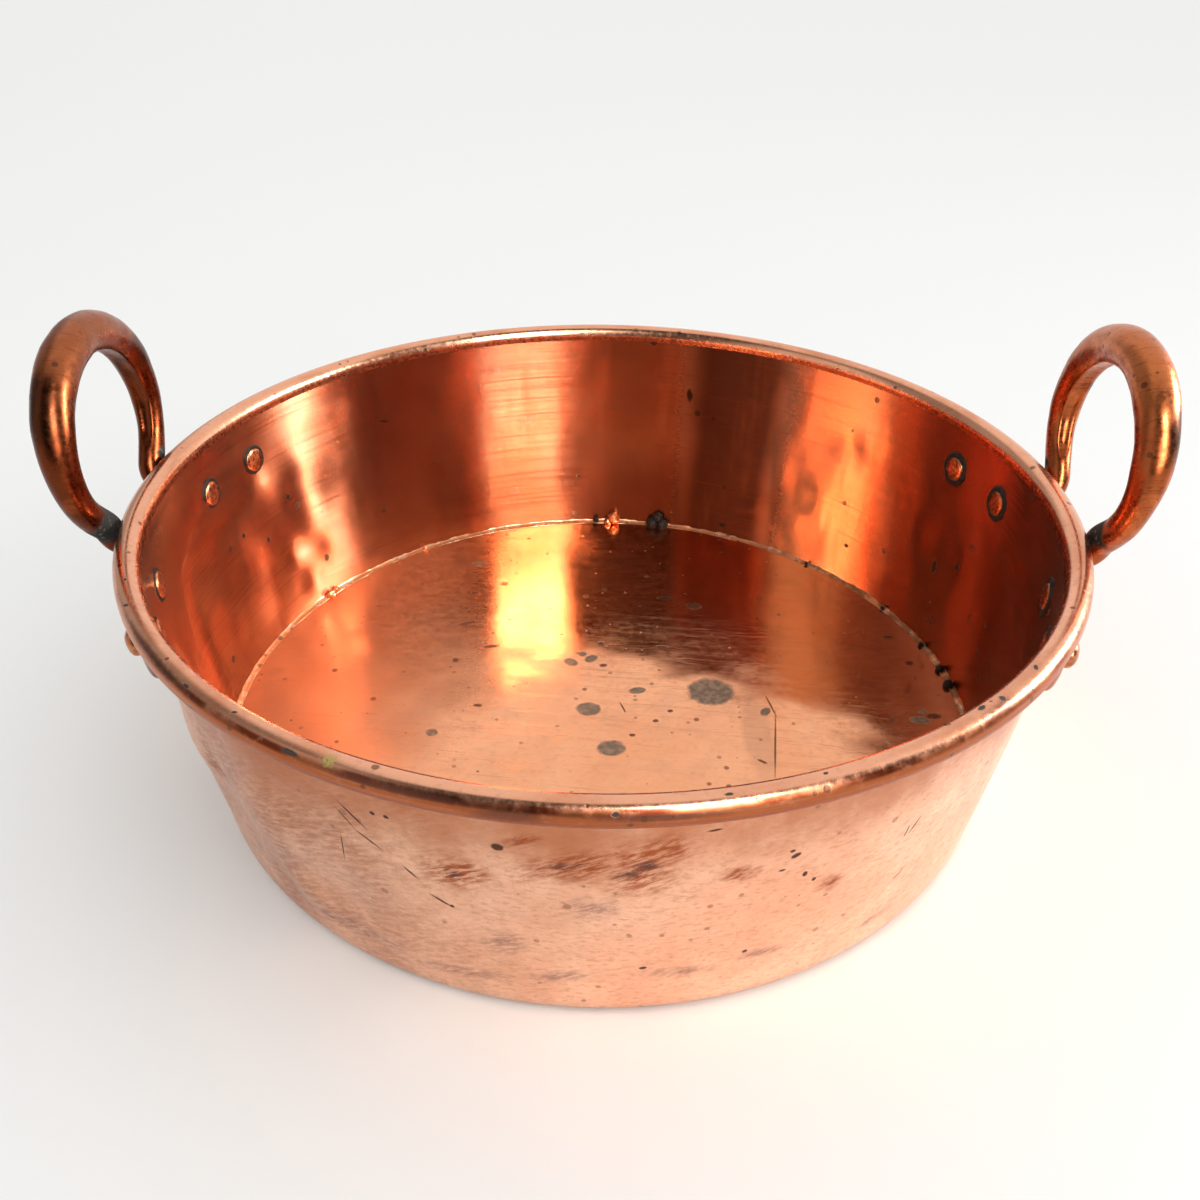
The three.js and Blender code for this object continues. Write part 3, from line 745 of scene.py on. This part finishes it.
def apply_modifier(obj, name, kind, **settings):
    modifier = obj.modifiers.new(name, kind)
    for key, value in settings.items():
        setattr(modifier, key, value)
    take(obj)
    bpy.ops.object.modifier_apply(modifier=name)


def roughen(obj, size, height, group="", depth=1, stretch=1.0):
    """Pushes the surface in and out by clouds of a given size and height, drawn out along Z."""
    bpy.ops.object.empty_add()
    ruler = bpy.context.object
    ruler.scale = (1, 1, stretch)
    bpy.context.view_layer.update()
    texture = bpy.data.textures.new("cloud", "CLOUDS")
    texture.noise_scale = size
    texture.noise_depth = depth
    apply_modifier(
        obj, "roughen", "DISPLACE", texture=texture, texture_coords="OBJECT",
        texture_coords_object=ruler, strength=height, mid_level=0.5, vertex_group=group,
    )
    bpy.data.objects.remove(ruler)


def push(obj, place, shift, reach):
    """Pulls the vertex nearest to a place, with its neighbours following within a reach."""
    take(obj)
    nearest = min(obj.data.vertices, key=lambda v: (v.co - Vector(place)).length_squared)
    index = nearest.index
    bpy.ops.object.mode_set(mode="EDIT")
    bpy.ops.mesh.select_mode(type="VERT")
    bpy.ops.mesh.select_all(action="DESELECT")
    bpy.ops.object.mode_set(mode="OBJECT")
    obj.data.vertices[index].select = True
    bpy.ops.object.mode_set(mode="EDIT")
    bpy.ops.transform.translate(
        value=shift, use_proportional_edit=True, proportional_edit_falloff="SMOOTH", proportional_size=reach
    )
    bpy.ops.object.mode_set(mode="OBJECT")


def extrude_ring(scale, rise, centre_z):
    """Extrudes the selected ring, lifts it and scales it about the pan's axis."""
    bpy.ops.mesh.extrude_region_move(TRANSFORM_OT_translate={"value": (0, 0, rise)})
    bpy.ops.transform.resize(value=(scale, scale, 1), center_override=(0, 0, centre_z))


def ring_surface(name, profile, sides):
    """A sheet of revolution, drawn ring by ring through points of radius and height."""
    bpy.ops.object.select_all(action="DESELECT")
    radius, height = profile[0]
    bpy.ops.mesh.primitive_circle_add(vertices=sides, radius=radius, location=(0, 0, height))
    obj = bpy.context.object
    obj.name = name
    bpy.ops.object.transform_apply(location=True, rotation=True, scale=True)
    bpy.ops.object.mode_set(mode="EDIT")
    bpy.ops.mesh.select_mode(type="VERT")
    bpy.ops.mesh.select_all(action="SELECT")
    for next_radius, next_height in profile[1:]:
        extrude_ring(next_radius / radius, next_height - height, next_height)
        radius, height = next_radius, next_height
    bpy.ops.mesh.select_all(action="SELECT")
    bpy.ops.mesh.remove_doubles(threshold=0.001 * MM)
    bpy.ops.mesh.normals_make_consistent(inside=False)
    bpy.ops.object.mode_set(mode="OBJECT")
    return obj


def arc_points(centre, radius, start, end, steps):
    points = []
    for i in range(steps + 1):
        a = start + (end - start) * i / steps
        points.append((centre[0] + radius * math.cos(a), centre[1] + radius * math.sin(a)))
    return points


def join_into(obj, others):
    """Joins other objects into the first one, keeping each one's materials."""
    take(obj)
    for other in others:
        other.select_set(True)
    bpy.ops.object.join()


def finish_piece(obj, name, slot, *nodes):
    obj.name = name
    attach(obj, "root")
    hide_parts(*nodes)


# Wall shape, at the inner face of the sheet

BEAD = (RIM_RADIUS - BEAD_RADIUS, PAN_HEIGHT - BEAD_RADIUS)
WALL_TOP = BEAD[1] + BEAD_RADIUS * math.sin(WALL_TILT_AT_RIM)
HEEL_INSIDE = HEEL_RADIUS - WALL_SHEET
WALL_FOOT = HEEL_RADIUS - HEEL_INSIDE * math.sin(WALL_TILT_AT_BASE)
WALL_BOW = (WALL_TOP - WALL_FOOT) / (math.sin(WALL_TILT_AT_BASE) - math.sin(WALL_TILT_AT_RIM))
BOW_CENTRE = (
    BEAD[0] - (BEAD_RADIUS + WALL_BOW) * math.cos(WALL_TILT_AT_RIM),
    WALL_TOP + WALL_BOW * math.sin(WALL_TILT_AT_RIM),
)
HEEL_CENTRE = (BOW_CENTRE[0] + (WALL_BOW - HEEL_INSIDE) * math.cos(WALL_TILT_AT_BASE), HEEL_RADIUS)


def wall_inside(z):
    return BOW_CENTRE[0] + math.sqrt(WALL_BOW ** 2 - (z - BOW_CENTRE[1]) ** 2)


def wall_tilt(z):
    return math.asin((BOW_CENTRE[1] - z) / WALL_BOW)


def round_pan(azimuth, radius, z):
    """A place at degrees round the pan."""
    a = math.radians(azimuth)
    return Vector((radius * math.cos(a), radius * math.sin(a), z))


def wall_profile():
    half = WALL_SHEET / 2
    roll = math.pi - WALL_TILT_AT_RIM
    points = [(HEEL_CENTRE[0] - FLANGE_WIDTH, half), (HEEL_CENTRE[0] - FLANGE_WIDTH / 2, half)]
    points += arc_points(HEEL_CENTRE, HEEL_RADIUS - half, -math.pi / 2, -WALL_TILT_AT_BASE, 7)
    points += arc_points(BOW_CENTRE, WALL_BOW + half, -WALL_TILT_AT_BASE, -WALL_TILT_AT_RIM, 44)[1:-1]
    points += arc_points(BEAD, BEAD_RADIUS - half, roll, roll - RIM_ROLL, 30)
    return points


def add_group(obj, name, weight):
    """A vertex group whose weight is worked out from each vertex's place."""
    group = obj.vertex_groups.new(name=name)
    for vertex in obj.data.vertices:
        group.add([vertex.index], max(0.0, min(1.0, weight(vertex.co))), "REPLACE")


def smooth_step(low, high, value):
    k = max(0.0, min(1.0, (value - low) / (high - low)))
    return k * k * (3 - 2 * k)


def loose_sheet(place):
    """How freely the sheet may dent: not at the rolled rim, the seam or the ears."""
    azimuth = abs(math.degrees(math.atan2(place.y, abs(place.x))))
    top = 1 - smooth_step(92 * MM, 103 * MM, place.z)
    foot = smooth_step(6 * MM, 18 * MM, place.z)
    under_ear = smooth_step(70 * MM, 80 * MM, place.z) * (1 - smooth_step(31, 38, azimuth))
    return top * foot * (1 - 0.9 * under_ear)


def battered_side(place):
    """The left of the wall, which has taken more knocks than the rest."""
    azimuth = math.degrees(math.atan2(place.y, place.x)) % 360
    side = smooth_step(128, 150, azimuth) * (1 - smooth_step(232, 255, azimuth))
    return side * loose_sheet(place)


# Dents in the wall: degrees round it, height, depth outwards and reach in millimetres
WALL_DENTS = [
    (152, 17, 1.2, 11), (155, 36, 0.8, 10), (150, 28, -0.6, 13), (163, 24, -0.9, 18),
    (166, 46, 0.9, 20), (148, 58, 0.8, 22), (154, 74, -0.6, 16), (171, 62, 0.8, 24),
    (175, 28, -0.9, 20), (160, 80, 0.6, 12), (52, 58, -0.5, 22), (47, 36, 0.4, 14), (53, 42, -0.35, 16),
    (44, 70, 0.5, 14), (41, 80, -0.35, 14), (58, 26, 0.3, 16), (-128, 62, 1.6, 28),
    (-118, 36, -1.6, 24), (-138, 40, -2.0, 30), (-108, 60, 0.9, 24), (-70, 40, -0.5, 24),
    (-126, 27, 1.5, 17), (-131, 24, -1.1, 15), (-112, 25, 0.9, 16), (-145, 60, 1.4, 24),
    (-101, 38, -0.7, 20), (100, 50, 0.35, 30), (20, 50, -0.8, 22), (-20, 45, 0.8, 24),
    (-165, 50, -1.0, 20), (166, 50, -2.0, 50), (182, 50, 2.0, 50),
]


def make_wall(outside, inside, rim):
    wall = ring_surface("pan_wall_sheet", wall_profile(), WALL_SIDES)
    add_group(wall, "loose", loose_sheet)
    add_group(wall, "battered", battered_side)
    roughen(wall, 60 * MM, 0.9 * MM, "loose", 1, 2.2)
    roughen(wall, 38 * MM, 2.4 * MM, "battered", 0, 2.4)
    roughen(wall, 17 * MM, 0.22 * MM, "battered", 0, 2.0)
    roughen(wall, 17 * MM, 0.22 * MM, "loose", 1, 1.6)
    for azimuth, z, depth, reach in WALL_DENTS:
        place = round_pan(azimuth, wall_inside(z * MM) + WALL_SHEET / 2, z * MM)
        push(wall, place, round_pan(azimuth, depth * MM, 0), reach * MM)
    apply_modifier(wall, "sheet", "SOLIDIFY", thickness=WALL_SHEET, offset=0)
    for material in (outside, inside, rim):
        wall.data.materials.append(material)
    for face in wall.data.polygons:
        radius = math.hypot(face.center.x, face.center.y)
        faces_in = face.normal.x * face.center.x + face.normal.y * face.center.y < 0
        from_bead = math.dist((radius, face.center.z), BEAD)
        if face.center.z > BEAD[1] - BEAD_RADIUS - 0.4 * MM and from_bead < BEAD_RADIUS + 0.4 * MM:
            face.material_index = 2
        elif faces_in or (face.center.z < HEEL_RADIUS and face.normal.z > 0):
            face.material_index = 1
    take(wall)
    bpy.ops.object.shade_smooth_by_angle(angle=SHEET_CREASE)
    finish_piece(wall, "pan_wall_sheet", "copper_wall", "pan_wall", "rim_wire")


def make_base(copper):
    edge = HEEL_CENTRE[0] + 1.4 * MM
    middle = PLATE_BOTTOM + PLATE_SHEET / 2
    eye = 0.6 * MM
    rings = 60
    profile = [(edge + (eye - edge) * i / rings, middle) for i in range(rings + 1)]
    base = ring_surface("base_disc", profile, BASE_SIDES)
    for part in (*base.data.edges, *base.data.polygons):
        part.select = False
    for vertex in base.data.vertices:
        vertex.select = vertex.co.xy.length < 1.01 * eye
    bpy.ops.object.mode_set(mode="EDIT")
    bpy.ops.mesh.select_mode(type="VERT")
    bpy.ops.mesh.edge_face_add()
    bpy.ops.mesh.select_all(action="SELECT")
    bpy.ops.mesh.normals_make_consistent(inside=False)
    bpy.ops.object.mode_set(mode="OBJECT")
    add_group(base, "loose", lambda p: 1 - smooth_step(120 * MM, 152 * MM, p.xy.length))
    roughen(base, 52 * MM, 1.5 * MM, "loose")
    roughen(base, 21 * MM, 0.42 * MM, "loose")
    roughen(base, 9 * MM, 0.07 * MM, "loose")
    apply_modifier(base, "sheet", "SOLIDIFY", thickness=PLATE_SHEET, offset=0)
    base.data.materials.append(copper)
    take(base)
    bpy.ops.object.shade_smooth_by_angle(angle=SHEET_CREASE)
    finish_piece(base, "base_disc", "copper_base", "base_plate")


SEAM_FOOT = HEEL_CENTRE[0] + 1.2 * MM
SEAM_TOP = 4.8 * MM
SEAM_MIDDLE = (HEEL_CENTRE[0] + 2.2 * MM, PLATE_TOP + 0.9 * MM)
# Lumps on the seam: degrees round it, inwards and up from the seam's middle, and size in millimetres
BRAZE_LUMPS = [
    (149.7, 0.6, 0.2, 2.3), (148.3, 0, 0.6, 1.5), (88, 1.1, 2.6, 3.3), (89, 0.9, 0.4, 2.4),
    (127, 0, 0.3, 1.1),
]
GRIME_LUMPS = [
    (80, 1.7, 1.4, 3.5), (78, 1.5, 1.0, 3.2), (79, 0.8, 4.6, 3.0), (91.5, 0.2, 1.2, 1.6),
    (8.8, 0.4, 0.2, 1.9), (4.5, 0.8, 0.2, 2.2), (16, 0.2, 0, 1.2), (28, 0.2, 0, 1.1), (47, 0.3, 0, 1.0),
]


def seam_lump(azimuth, inwards, up, size, material):
    bpy.ops.object.select_all(action="DESELECT")
    place = round_pan(azimuth, SEAM_MIDDLE[0] - inwards * MM, SEAM_MIDDLE[1] + up * MM)
    bpy.ops.mesh.primitive_ico_sphere_add(subdivisions=4, radius=size * MM, location=place)
    lump = bpy.context.object
    bpy.ops.object.transform_apply(location=True, rotation=True, scale=True)
    roughen(lump, 2.2 * MM, 1.4 * MM, depth=2)
    lump.data.materials.append(material)
    return lump


def make_seam(braze, grime):
    """A hollow fillet in the corner of base and wall, with lumps of spelter and soot on it."""
    back = wall_inside(SEAM_TOP) + 0.2 * MM
    low = PLATE_TOP - 0.3 * MM
    profile = [(SEAM_FOOT + 1.0 * MM, low), (SEAM_FOOT, low), (SEAM_FOOT, PLATE_TOP)]
    hollow = 6
    for i in range(1, hollow):
        k = i / hollow
        radius = SEAM_FOOT + (back - SEAM_FOOT) * (1 - (1 - k) ** 1.6)
        profile.append((radius, PLATE_TOP + (SEAM_TOP - PLATE_TOP) * k ** 1.6))
    profile += [(back, SEAM_TOP), (back, SEAM_TOP - 0.8 * MM), profile[0]]
    seam = ring_surface("braze_ring", profile, SEAM_SIDES)
    roughen(seam, 9 * MM, 0.7 * MM)
    roughen(seam, 2.4 * MM, 0.5 * MM)
    seam.data.materials.append(braze)
    lumps = [seam_lump(*row, braze) for row in BRAZE_LUMPS]
    lumps += [seam_lump(*row, grime) for row in GRIME_LUMPS]
    join_into(seam, lumps)
    take(seam)
    bpy.ops.object.shade_smooth()
    finish_piece(seam, "braze_ring", "braze", "base_braze_seam")


# Height of the middle of a handle's loop
LOOP_MIDDLE = 140 * MM


def make_handle(side, copper):
    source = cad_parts[f"{side}_handle"]
    handle = bpy.data.objects.new(f"{side}_loop", source.data.copy())
    bpy.context.scene.collection.objects.link(handle)
    handle.data.materials.clear()
    take(handle)
    bpy.ops.mesh.customdata_custom_splitnormals_clear()
    bpy.ops.object.mode_set(mode="EDIT")
    bpy.ops.mesh.select_all(action="SELECT")
    bpy.ops.mesh.remove_doubles(threshold=0.01 * MM)
    bpy.ops.mesh.tris_convert_to_quads()
    bpy.ops.object.mode_set(mode="OBJECT")
    apply_modifier(handle, "round", "SUBSURF", levels=2, render_levels=2)
    apply_modifier(handle, "skin", "REMESH", mode="VOXEL", voxel_size=0.75 * MM)
    apply_modifier(handle, "ease", "SMOOTH", factor=0.5, iterations=14)
    group = handle.vertex_groups.new(name="flat")
    middle = Vector((0, 0, LOOP_MIDDLE))
    for vertex in handle.data.vertices:
        inward = (middle - vertex.co) * Vector((0, 1, 1))
        facing = vertex.normal.dot(inward.normalized())
        weight = smooth_step(0.84, 1.02, facing) * smooth_step(114 * MM, 122 * MM, vertex.co.z)
        group.add([vertex.index], weight, "REPLACE")
    apply_modifier(handle, "flat", "DISPLACE", strength=-1.4 * MM, mid_level=0, vertex_group="flat")
    roughen(handle, 18 * MM, 0.9 * MM)
    roughen(handle, 5 * MM, 0.1 * MM)
    handle.data.materials.append(copper)
    take(handle)
    bpy.ops.object.shade_smooth()
    finish_piece(handle, f"{side}_loop", "handle_copper", f"{side}_handle")


RIVET_SHANK = 3 * MM
RIVET_HEAD = 5.3 * MM
# Rings of grime round the inner heads: radius and thickness
GRIME_RING_SIZES = {"left": (5.8 * MM, 0.9 * MM), "right": (6.3 * MM, 1.6 * MM)}


def rivet_model():
    """One rivet along +Z, with its inner head below and its hammered head above."""
    bpy.ops.object.select_all(action="DESELECT")
    reach = EAR_OUTSIDE + 0.6 * MM
    bpy.ops.mesh.primitive_cylinder_add(
        vertices=40, radius=RIVET_SHANK, depth=reach, location=(0, 0, reach / 2 - 0.3 * MM)
    )
    rivet = bpy.context.object
    bpy.ops.object.transform_apply(location=True, rotation=True, scale=True)
    # Steps of each head: share of its radius, and rise in millimetres
    flat_head = ((1.0, 0), (1.0, 0.5), (0.93, 0.35), (0.6, 0.1), (0.15, 0.02))
    hammered_head = ((1.0, 0), (0.98, 1.0), (0.86, 1.1), (0.6, 0.9), (0.3, 0.4), (0.08, 0.1))
    for sign, steps in ((-1, flat_head), (1, hammered_head)):
        end = max(sign * vertex.co.z for vertex in rivet.data.vertices)
        for part in (*rivet.data.vertices, *rivet.data.edges):
            part.select = False
        for face in rivet.data.polygons:
            face.select = sign * face.center.z > end - 0.01 * MM
        bpy.ops.object.mode_set(mode="EDIT")
        bpy.ops.mesh.select_mode(type="FACE")
        size = RIVET_SHANK
        for share, rise in steps:
            bpy.ops.mesh.extrude_region_move(TRANSFORM_OT_translate={"value": (0, 0, sign * rise * MM)})
            k = share * RIVET_HEAD / size
            bpy.ops.transform.resize(value=(k, k, 1), center_override=(0, 0, 0))
            size = share * RIVET_HEAD
        bpy.ops.object.mode_set(mode="OBJECT")
    bpy.ops.object.mode_set(mode="EDIT")
    bpy.ops.mesh.select_all(action="SELECT")
    bpy.ops.mesh.normals_make_consistent(inside=False)
    bpy.ops.object.mode_set(mode="OBJECT")
    return rivet


def grime_ring(reach, thickness):
    """Old polish and soot packed round a rivet's inner head."""
    bpy.ops.object.select_all(action="DESELECT")
    bpy.ops.mesh.primitive_torus_add(
        major_segments=72, minor_segments=10, major_radius=reach, minor_radius=thickness
    )
    ring = bpy.context.object
    bpy.ops.transform.resize(value=(1, 1, 0.5))
    bpy.ops.transform.translate(value=(0, 0, -0.1 * MM))
    bpy.ops.object.transform_apply(location=True, rotation=True, scale=True)
    return ring


def rivet_azimuth(side, end, row):
    rearward = -1 if side == "left" else 1
    way = rearward if end == "rear" else -rearward
    return HANDLE_MIDDLES[side] + way * RIVET_ANGLES[row]


def make_rivets(copper, grime):
    head = rivet_model()
    rings = {side: grime_ring(*size) for side, size in GRIME_RING_SIZES.items()}
    z = EAR_HEIGHT_ON_WALL
    turn = 0
    for side in ("left", "right"):
        for end in ("rear", "front"):
            for row in ("inner", "outer"):
                name = f"{side}_{end}_{row}_rivet"
                place = (
                    Matrix.Rotation(math.radians(rivet_azimuth(side, end, row)), 4, "Z")
                    @ Matrix.Translation((wall_inside(z), 0, z))
                    @ Matrix.Rotation(math.pi / 2 + wall_tilt(z), 4, "Y")
                )
                turn += 0.7
                parts = []
                for model, material, height in ((head, copper, 0.35), (rings[side], grime, 1.1)):
                    part = bpy.data.objects.new(f"{name}_set", model.data.copy())
                    bpy.context.scene.collection.objects.link(part)
                    part.data.transform(place @ Matrix.Rotation(turn, 4, "Z"))
                    roughen(part, 4 * MM, height * MM)
                    part.data.materials.append(material)
                    parts.append(part)
                join_into(parts[0], parts[1:])
                bpy.ops.object.shade_smooth_by_angle(angle=RIVET_CREASE)
                finish_piece(parts[0], f"{name}_set", "rivet_copper", name)
    for model in (head, *rings.values()):
        bpy.data.objects.remove(model)


bpy.context.scene.view_settings.view_transform = "Standard"
make_camera()
make_floor()
make_light()
make_mark_group()
make_tarnish_group()
make_pits_group()
make_scratch_group()
soot = black_grime()
make_wall(copper_outside(), copper_inside(), copper_rim())
make_base(copper_base())
make_seam(pale_braze(), soot)
for handle_side in ("left", "right"):
    make_handle(handle_side, handle_copper(handle_side))
make_rivets(rivet_copper(), soot)
